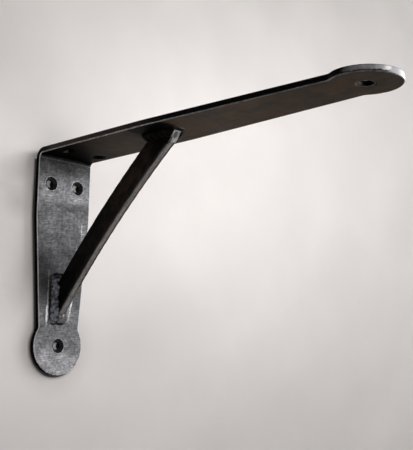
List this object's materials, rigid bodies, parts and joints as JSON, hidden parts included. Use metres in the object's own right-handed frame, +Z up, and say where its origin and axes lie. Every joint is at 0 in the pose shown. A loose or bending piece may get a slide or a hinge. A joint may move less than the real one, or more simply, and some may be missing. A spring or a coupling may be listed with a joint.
{
  "type": "shelf bracket",
  "caption": "Right-angle shelf bracket bent from flat steel bar, with round screw pads and a welded, bowed diagonal brace.",
  "frame": {"origin": "on the wall face of the plate, midway between the upper pair of wall screw holes", "axes": "+X out of the wall along the arm, +Y across the bar, +Z up"},
  "size_m": [0.2497, 0.04, 0.1396],
  "materials": {
    "strap": "hot-rolled bar with worn mill scale, mottled dark grey, edges rubbed bright",
    "brace": "hot-rolled bar with dark mill scale, cut edges slightly lighter",
    "weld": "rough weld metal, mottled blue-grey with black scale"
  },
  "bodies": {
    "root": {"strap": "strap", "brace": "brace", "foot_weld": "weld", "head_weld": "weld"}
  },
  "joints": []
}
